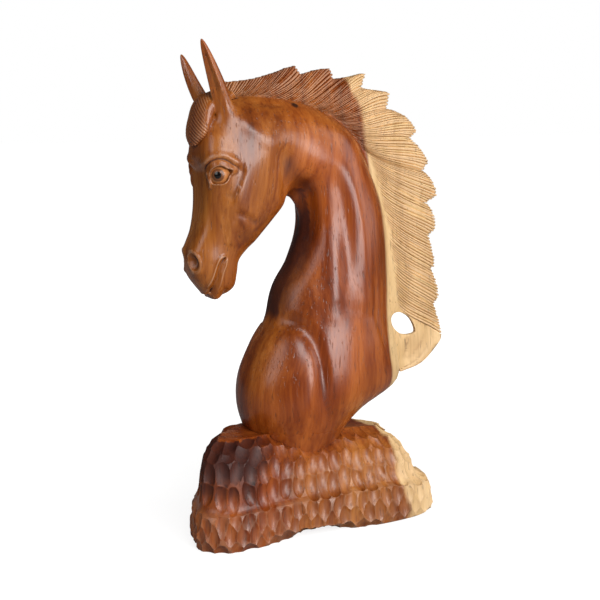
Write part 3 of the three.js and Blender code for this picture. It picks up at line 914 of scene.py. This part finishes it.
def tone_ramp(tree, value, tones):
    ramp = place_node(tree, "ShaderNodeValToRGB", {"Fac": value})
    stops = ramp.color_ramp.elements
    while len(stops) < len(tones):
        stops.new(0.5)
    for stop, (position, colour) in zip(stops, tones):
        stop.position = position
        stop.color = (*colour, 1.0)
    return ramp.outputs[0]


def make_log_group():
    """Grain of an upright log: its rings, streaks, fibres, pores and the share of sapwood at a place."""
    group = bpy.data.node_groups.new("upright_log_grain", "ShaderNodeTree")
    group.interface.new_socket("Place", in_out="INPUT", socket_type="NodeSocketVector")
    names = ("Rings", "Streaks", "Fibres", "Pores", "Sapwood", "Dark Edge", "Cloud", "Warmth")
    for name in names:
        group.interface.new_socket(name, in_out="OUTPUT", socket_type="NodeSocketFloat")
    place = group.nodes.new("NodeGroupInput").outputs["Place"]
    bend = place_node(group, "ShaderNodeTexNoise", {"Vector": place, "Scale": 6.5, "Detail": 2.0})
    shift = vector_calc(group, "SUBTRACT", bend.outputs[1], (0.5, 0.5, 0.5))
    shift = vector_calc(group, "MULTIPLY", shift, (0.035, 0.035, 0.0))
    bent = vector_calc(group, "ADD", place, shift)
    parts = place_node(group, "ShaderNodeSeparateXYZ", {0: bent})
    x = calc(group, "SUBTRACT", parts.outputs[0], LOG["x"])
    y = calc(group, "SUBTRACT", parts.outputs[1], LOG["y"])
    reach = calc(group, "SQRT", calc(group, "MULTIPLY_ADD", x, x, calc(group, "MULTIPLY", y, y)))
    cloud = stretched_noise(group, place, (1.0, 1.0, 0.45), 12.0, 3.0)
    wander = calc(group, "MULTIPLY", cloud, 22.0)
    turns = calc(group, "MULTIPLY_ADD", reach, 2.0 * math.pi / LOG["ring"], wander)
    swell = calc(group, "MULTIPLY_ADD", calc(group, "SINE", turns), 0.5, 0.5)
    keen = calc(group, "POWER", swell, 5.0)
    rings = calc(group, "MULTIPLY", keen, step_between(group, cloud, 0.40, 0.62))
    streaks = stretched_noise(group, bent, (1.0, 1.0, 0.07), 55.0, 5.0, 0.62)
    fibres = stretched_noise(group, bent, (1.0, 1.0, 0.03), 430.0, 2.0)
    pores = stretched_noise(group, bent, (1.0, 1.0, 0.09), 620.0, 1.0)
    patches = stretched_noise(group, place, (1.0, 1.0, 0.6), 7.0, 2.0)
    edge = calc(group, "MULTIPLY_ADD", parts.outputs[2], LOG["taper"], LOG["heart"])
    above = calc(group, "MAXIMUM", calc(group, "SUBTRACT", parts.outputs[2], LOG["top"]), 0.0)
    edge = calc(group, "MULTIPLY_ADD", above, -0.5, edge)
    past = calc(group, "SUBTRACT", reach, edge)
    past = calc(group, "MULTIPLY_ADD", calc(group, "SUBTRACT", cloud, 0.5), 0.030, past)
    past = calc(group, "MULTIPLY_ADD", calc(group, "SUBTRACT", streaks, 0.5), 0.014, past)
    answers = {
        "Rings": rings,
        "Streaks": streaks,
        "Fibres": fibres,
        "Pores": step_between(group, pores, 0.64, 0.72),
        "Sapwood": step_between(group, past, -0.004, 0.004),
        "Dark Edge": step_between(group, past, -0.030, -0.003),
        "Cloud": cloud,
        "Warmth": step_between(group, patches, 0.35, 0.65),
    }
    out = group.nodes.new("NodeGroupOutput")
    for name, socket in answers.items():
        group.links.new(socket, out.inputs[name])
    return group


def spot_share(tree, place, at, near, far):
    """1 within near of a point and 0 past far from it."""
    gap = place_node(tree, "ShaderNodeVectorMath", {0: place, 1: at}, operation="DISTANCE")
    return step_between(tree, gap.outputs["Value"], near, far, 1.0, 0.0)


def wood_colour(tree, take, deep, sheen_share):
    """Colour of the two woods with their pores, with painted shade in hollows and painted sheen on ridges.
    """
    tone = calc(tree, "MULTIPLY", take["Rings"], -0.055)
    tone = calc(tree, "MULTIPLY_ADD", take["Streaks"], 0.50, tone)
    tone = calc(tree, "MULTIPLY_ADD", take["Cloud"], 0.42, tone)
    tone = calc(tree, "MULTIPLY_ADD", take["Fibres"], 0.14, tone)
    tone = calc(tree, "MULTIPLY_ADD", take["Dark Edge"], -0.04, tone)
    heart = tone_ramp(tree, tone, HEART_TONES)
    warmth = mix_colour(tree, take["Warmth"], HEART_RED, HEART_WARM)
    heart = mix_colour(tree, 1.0, heart, warmth, "MULTIPLY")
    sap_tone = calc(tree, "MULTIPLY_ADD", take["Fibres"], 0.3, calc(tree, "MULTIPLY", take["Streaks"], 0.7))
    sap = tone_ramp(tree, sap_tone, SAP_TONES)
    colour = mix_colour(tree, take["Sapwood"], heart, sap)
    colour = mix_colour(tree, calc(tree, "MULTIPLY", take["Pores"], 0.45), colour, PORE_BROWN)
    # Painted shade: both woods are darkened in hollows by the share that the hollow field gives.
    hollow_shade_tint = mix_colour(tree, take["Sapwood"], HEART_HOLLOW_SHADE, SAP_HOLLOW_SHADE)
    colour = mix_colour(tree, deep, colour, hollow_shade_tint, "MULTIPLY")
    # Painted sheen on ridges and on the lower foot.
    return mix_colour(tree, calc(tree, "MULTIPLY", sheen_share, 0.36), colour, PAINTED_SHEEN)


def eye_shares(tree, parts):
    """The shares of the eyeball, the iris and the pupil at a place, on both sides of the head."""
    right, _, out = local_axes(EYE["out"])
    middle = np.array(EYE["at"]) - out * EYE["sink"]
    aside = math.asin(PUPIL["aside"] / EYE["ball"])
    pupil = middle + EYE["ball"] * (right * math.sin(aside) + out * math.cos(aside))
    folded = calc(tree, "MULTIPLY", calc(tree, "ABSOLUTE", parts[1]), -1.0)
    sided = place_node(tree, "ShaderNodeCombineXYZ", {0: parts[0], 1: folded, 2: parts[2]}).outputs[0]
    ball = spot_share(tree, sided, tuple(middle * MM), (EYE["ball"] + 0.15) * MM, (EYE["ball"] + 0.3) * MM)
    iris = spot_share(tree, sided, tuple(pupil * MM), PUPIL["iris"] * 0.85 * MM, PUPIL["iris"] * MM)
    black = spot_share(tree, sided, tuple(pupil * MM), PUPIL["radius"] * 0.92 * MM, PUPIL["radius"] * MM)
    iris = calc(tree, "MULTIPLY", iris, calc(tree, "MULTIPLY", ball, 0.85))
    black = calc(tree, "MULTIPLY", black, ball)
    return ball, iris, black


def make_wood():
    wood = bpy.data.materials.new("two_tone_polished_wood")
    wood.use_nodes = True
    tree = wood.node_tree
    surface = tree.nodes["Principled BSDF"]
    place = place_node(tree, "ShaderNodeTexCoord").outputs["Object"]
    place = vector_calc(tree, "SUBTRACT", place, tuple(MOVE * MM))
    parts = place_node(tree, "ShaderNodeSeparateXYZ", {0: place}).outputs
    grain = place_node(tree, "ShaderNodeGroup", node_tree=make_log_group())
    tree.links.new(place, grain.inputs["Place"])
    take = grain.outputs
    # The hollow field holds painted shade where it is above 0 and painted sheen where it is below.
    hollow = place_node(tree, "ShaderNodeAttribute", attribute_name="hollow").outputs["Fac"]
    deep = step_between(tree, hollow, 0.05, 0.9)
    sheen_share = step_between(tree, hollow, -0.1, -0.9)

    colour = wood_colour(tree, take, deep, sheen_share)
    knot = spot_share(tree, place, KNOT["at"], KNOT["radius"] * 0.6, KNOT["radius"] * 1.3)
    colour = mix_colour(tree, knot, colour, KNOT_BROWN)
    ball, iris, black = eye_shares(tree, parts)
    colour = mix_colour(tree, calc(tree, "MULTIPLY", ball, 0.6), colour, EYE_AMBER)
    colour = mix_colour(tree, iris, colour, IRIS_BROWN)
    colour = mix_colour(tree, black, colour, PUPIL_BLACK)

    foot = step_between(tree, parts[2], 0.088, 0.100, 1.0, 0.0)
    rough = calc(tree, "MULTIPLY_ADD", take["Streaks"], 0.12, 0.20)
    rough = calc(tree, "MULTIPLY_ADD", foot, 0.08, rough)
    rough = calc(tree, "MULTIPLY_ADD", take["Sapwood"], 0.20, rough)
    rough = calc(tree, "MULTIPLY_ADD", deep, 0.25, rough, clamp=True)
    rough = calc(tree, "MULTIPLY_ADD", black, -0.2, rough, clamp=True)
    height = calc(tree, "MULTIPLY_ADD", take["Pores"], -1.0, calc(tree, "MULTIPLY", take["Fibres"], 0.5))
    bump = place_node(tree, "ShaderNodeBump", {"Strength": 0.45, "Distance": 0.0004, "Height": height})
    tree.links.new(colour, surface.inputs["Base Color"])
    tree.links.new(rough, surface.inputs["Roughness"])
    tree.links.new(bump.outputs[0], surface.inputs["Normal"])
    return wood


# The carving


def edge_ends(piece):
    ends = np.empty(len(piece.data.edges) * 2, int)
    piece.data.edges.foreach_get("vertices", ends)
    return ends.reshape(-1, 2).T


def neighbour_mean(points, first, second):
    """Mean over the edges at each point of the point at the other end."""
    total = np.zeros_like(points)
    np.add.at(total, first, points[second])
    np.add.at(total, second, points[first])
    return total / np.bincount(np.concatenate([first, second]), minlength=len(points))[:, None]


def blend_joins(piece):
    """Rubs the joins at the feet of the ears smooth, as a carver does with sandpaper."""
    first, second = edge_ends(piece)
    points = read_points(piece)
    offset = near_side(points) - np.array(EAR_JOIN["at"])
    reach = np.linalg.norm(offset / EAR_JOIN["half"], axis=1)
    rubbed = EAR_JOIN["rub"] * (1.0 - ease(reach, 0.6, 1.1))[:, None]
    for _ in range(EAR_JOIN["rounds"]):
        points = points + rubbed * (neighbour_mean(points, first, second) - points)
    write_points(piece, points)


def surface_bend(piece, points, normals):
    """How sharply the surface is hollowed (to 1) or ridged (to -1) at each point."""
    first, second = edge_ends(piece)
    span = points[second] - points[first]
    square = np.maximum(np.sum(span * span, axis=1), 0.36)
    bend = np.zeros(len(points))
    np.add.at(bend, first, 2.0 * np.sum(span * normals[first], axis=1) / square)
    np.add.at(bend, second, -2.0 * np.sum(span * normals[second], axis=1) / square)
    counts = np.bincount(np.concatenate([first, second]), minlength=len(points))
    return np.clip(bend / counts / 0.5, -1.0, 1.0)


def foot_shade(points, hollow):
    """Foot: painted sheen low down, painted shade in hollows, darker wood and painted shade at near left.
    """
    # Painted sheen on the lower foot.
    low_sheen = FOOT_LOW_SHEEN["share"] * (1.0 - ease(points[:, 2], *FOOT_LOW_SHEEN["z"]))
    # Darker wood with painted shade at the near left corner.
    left = ease(-points[:, 0], *FOOT_STAIN_AND_SHADE["left"])
    stain_and_shade = left * ease(points[:, 2], *FOOT_STAIN_AND_SHADE["up"]) * ease(-points[:, 1], *FOOT_STAIN_AND_SHADE["near"])
    # Painted shade in the gouge hollows.
    hollows = FOOT_HOLLOW_SHADE["share"] * np.clip(hollow, 0.0, FOOT_HOLLOW_SHADE["most"])
    return hollows - low_sheen + FOOT_STAIN_AND_SHADE["share"] * stain_and_shade


def paint_shade_and_sheen(piece):
    """Stores painted shade (to 1) or sheen (to -1) per point, from hollows, ridges, lines and stain."""
    points = read_points(piece)
    normals = read_normals(piece)
    hollow = surface_bend(piece, points, normals)
    near = near_side(points)
    # Painted shade along the modelled lines, strongest in their middles.
    for _, _, width, line_shade, line in MODELLED_LINES:
        if line_shade:
            distance, share, _ = line_distance(near, line)
            hollow = hollow + line_shade * tapered(share, 0.3) * bell(distance, 0.45 * width)
    x, y, z = points.T
    foot = z < FOOT_TOP - MOVE[2]
    hollow = np.where(foot, foot_shade(points, hollow), hollow)
    ears = (z > EAR_SHADE["above"]) & (x < EAR_SHADE["before"])
    fringe = ~ears & (z > FRINGE_SHADE["above"]) & (x < FRINGE_SHADE["before"])
    fringe = fringe & (np.abs(y) < FRINGE_SHADE["half"])
    hair = ~foot & ~ears & ~fringe & (np.abs(y) < HAIR_SHADE["half"])
    # The ears take none of the bend's painted shade; the fringe and hair take less and more of the shade
    # and sheen.
    shares = [0.0, FRINGE_SHADE["share"], HAIR_SHADE["share"]]
    hollow = hollow * np.select([ears, fringe, hair], shares, 1.0)
    sided = np.where(y < 0.0, normals[:, 1], -normals[:, 1])
    forward, aside = EAR_SHADE["cup_faces"]
    cup = ease(forward * normals[:, 0] + aside * sided, 0.5, 0.85)
    # Painted shade in the ears' cups that face front and left.
    hollow = hollow + EAR_SHADE["share"] * ears * cup
    field = piece.data.attributes.new("hollow", "FLOAT", "POINT")
    field.data.foreach_set("value", np.clip(hollow, -1.0, 1.0).astype(np.float32))


def keep_gouge_ridges(piece):
    """Marks the ridges between the gouge cuts of the foot as sharp edges."""
    edit_faces(piece, face_middles(piece)[:, 2] < FOOT_TOP)
    bpy.ops.mesh.hide(unselected=True)
    bpy.ops.mesh.select_mode(type="EDGE")
    bpy.ops.mesh.select_all(action="DESELECT")
    bpy.ops.mesh.edges_select_sharp(sharpness=math.radians(SHARP_GOUGE_RIDGE))
    bpy.ops.mesh.mark_sharp()
    bpy.ops.mesh.reveal(select=False)
    bpy.ops.object.mode_set(mode="OBJECT")


def make_carving():
    carving = make_bust()
    for side in (1, -1):
        join_solid(carving, eye_ball(side))
    for ear in EARS:
        join_solid(carving, make_ear(ear))
    join_solid(carving, make_forelock())
    blend_joins(carving)
    join_solid(carving, make_mane())
    join_solid(carving, make_foot())
    carving.name = "carved_horse_head"
    paint_shade_and_sheen(carving)
    write_points(carving, read_points(carving) + MOVE)
    make_active(carving)
    bpy.ops.object.shade_smooth_by_angle(angle=math.radians(SHARP_EDGE))
    keep_gouge_ridges(carving)
    return carving


# Studio

# Soft boxes: name, place, the point that each faces, its width and height, its power in watts, and
# whether it shows in reflections.
SOFT_BOXES = [
    ("soft_box_front", (0.43, -1.73, 0.60), (0.0, 0.0, 0.28), (0.9, 0.85), 20.0, True),
    ("soft_box_right", (1.50, -0.90, 0.80), (0.0, 0.0, 0.25), (1.0, 1.2), 8.0, True),
    ("soft_box_left", (-1.5, -0.7, 0.9), (0.0, 0.0, 0.25), (0.7, 1.0), 5.5, True),
    ("soft_box_top", (-0.24, -1.42, 1.16), (0.0, 0.0, 0.3), (0.8, 0.7), 13.0, True),
    ("soft_box_back", (0.1, 1.8, 1.0), (0.0, 0.0, 0.25), (1.3, 1.2), 15.0, False),
]


def make_floor():
    deselect_all()
    bpy.ops.mesh.primitive_plane_add(size=24.0, location=(0.0, 0.0, 0.0))
    floor = bpy.context.object
    floor.name = "studio_floor"
    paper = bpy.data.materials.new("white_paper")
    paper.use_nodes = True
    tree = paper.node_tree
    surface = tree.nodes["Principled BSDF"]
    surface.inputs["Base Color"].default_value = (0.36, 0.36, 0.36, 1.0)
    surface.inputs["Roughness"].default_value = 1.0
    surface.inputs["Specular IOR Level"].default_value = 0.0
    surface.inputs["Emission Color"].default_value = (1.0, 1.0, 1.0, 1.0)
    seen = place_node(tree, "ShaderNodeLightPath").outputs["Is Camera Ray"]
    place = place_node(tree, "ShaderNodeTexCoord").outputs["Object"]
    reach = place_node(tree, "ShaderNodeVectorMath", {0: place}, operation="LENGTH").outputs["Value"]
    glow = calc(tree, "MULTIPLY", seen, step_between(tree, reach, 0.18, 0.6, 0.82, 1.0))
    tree.links.new(glow, surface.inputs["Emission Strength"])
    floor.data.materials.append(paper)


def area_light(name, place, target, size, power, reflected):
    deselect_all()
    bpy.ops.object.light_add(type="AREA", location=place)
    lamp = bpy.context.object
    lamp.name = name
    lamp.data.shape = "RECTANGLE"
    lamp.data.size = size[0]
    lamp.data.size_y = size[1]
    lamp.data.energy = power
    aim = Vector(target) - Vector(place)
    lamp.rotation_euler = aim.to_track_quat("-Z", "Y").to_euler()
    lamp.visible_glossy = reflected


def make_studio():
    scene = bpy.context.scene
    make_floor()
    world = bpy.data.worlds.new("studio_air")
    scene.world = world
    world.use_nodes = True
    tree = world.node_tree
    air = tree.nodes["Background"]
    seen = place_node(tree, "ShaderNodeLightPath").outputs["Is Camera Ray"]
    tree.links.new(calc(tree, "MULTIPLY_ADD", seen, 0.93, 0.07), air.inputs["Strength"])
    air.inputs["Color"].default_value = (1.0, 1.0, 1.0, 1.0)
    for soft_box in SOFT_BOXES:
        area_light(*soft_box)
    scene.view_settings.view_transform = "Standard"


def make_camera():
    yaw = math.radians(CAMERA["yaw"])
    rise = math.radians(CAMERA["rise"])
    back = Vector((math.sin(yaw) * math.cos(rise), -math.cos(yaw) * math.cos(rise), math.sin(rise)))
    deselect_all()
    bpy.ops.object.camera_add(location=Vector(CAMERA["target"]) + back * CAMERA["distance"])
    camera = bpy.context.object
    camera.name = "photo_camera"
    camera.rotation_euler = (-back).to_track_quat("-Z", "Y").to_euler()
    camera.data.sensor_width = 36.0
    camera.data.lens = CAMERA["lens"]
    bpy.context.scene.camera = camera


make_camera()
make_studio()
carving = make_carving()
carving.data.materials.clear()
carving.data.materials.append(make_wood())
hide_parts(CARVING_NODE)
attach(carving, "root")
